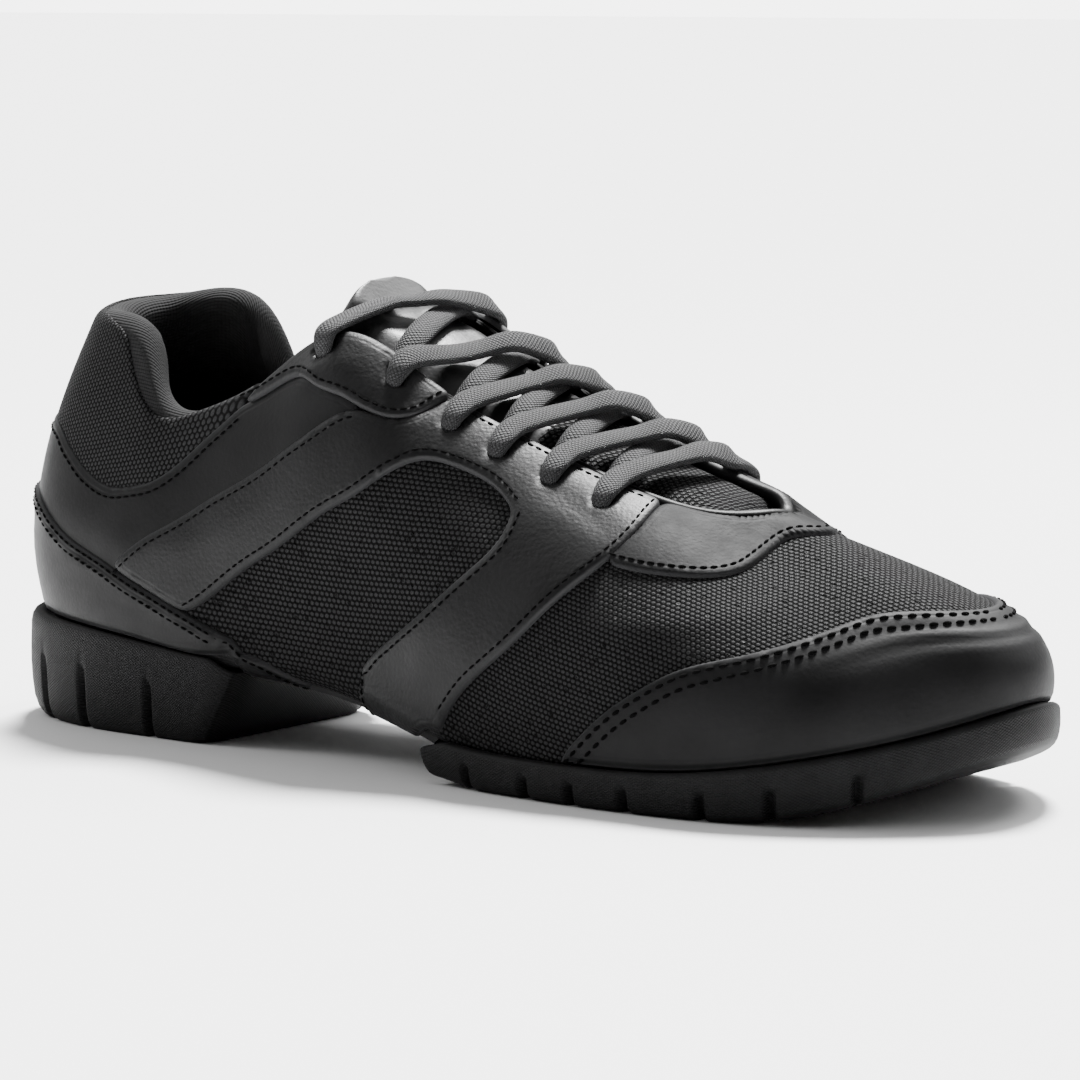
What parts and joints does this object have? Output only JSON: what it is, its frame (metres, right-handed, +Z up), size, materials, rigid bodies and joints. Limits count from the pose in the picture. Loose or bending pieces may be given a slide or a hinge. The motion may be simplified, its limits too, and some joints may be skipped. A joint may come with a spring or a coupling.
{
  "type": "dance sneaker",
  "caption": "Right black split-sole dance sneaker with padded collar, leather overlays on mesh, laced tongue, and separate heel and forefoot pads.",
  "frame": {"origin": "centre of the flat underside of the heel pad, on the floor", "axes": "+X along the shoe towards the toe, +Y towards the inner side of the foot, +Z up"},
  "size_m": [0.2878, 0.0992, 0.1161],
  "materials": {
    "black_mesh_cloth": "coarse woven mesh, matte",
    "black_leather": "fine grain, soft sheen",
    "black_rubber": "matte, fine texture",
    "black_lining": "matte knit",
    "black_lace": "flat woven lace"
  },
  "bodies": {
    "root": {"upper": "black_mesh_cloth", "eyestay_outer": "black_leather", "eyestay_inner": "black_leather", "rear_quarter": "black_leather", "heel_counter": "black_leather", "wing_outer": "black_leather", "wing_inner": "black_leather", "vamp_tip": "black_leather", "toe_cap": "black_leather", "arch_panel": "black_leather", "tongue": "black_leather", "insole": "black_lining", "forefoot_sole": "black_rubber", "heel_sole": "black_rubber", "lace_crossing_1": "black_lace", "lace_crossing_2": "black_lace", "lace_crossing_3": "black_lace", "lace_crossing_4": "black_lace", "lace_crossing_5": "black_lace", "lace_bar": "black_lace"}
  },
  "joints": []
}
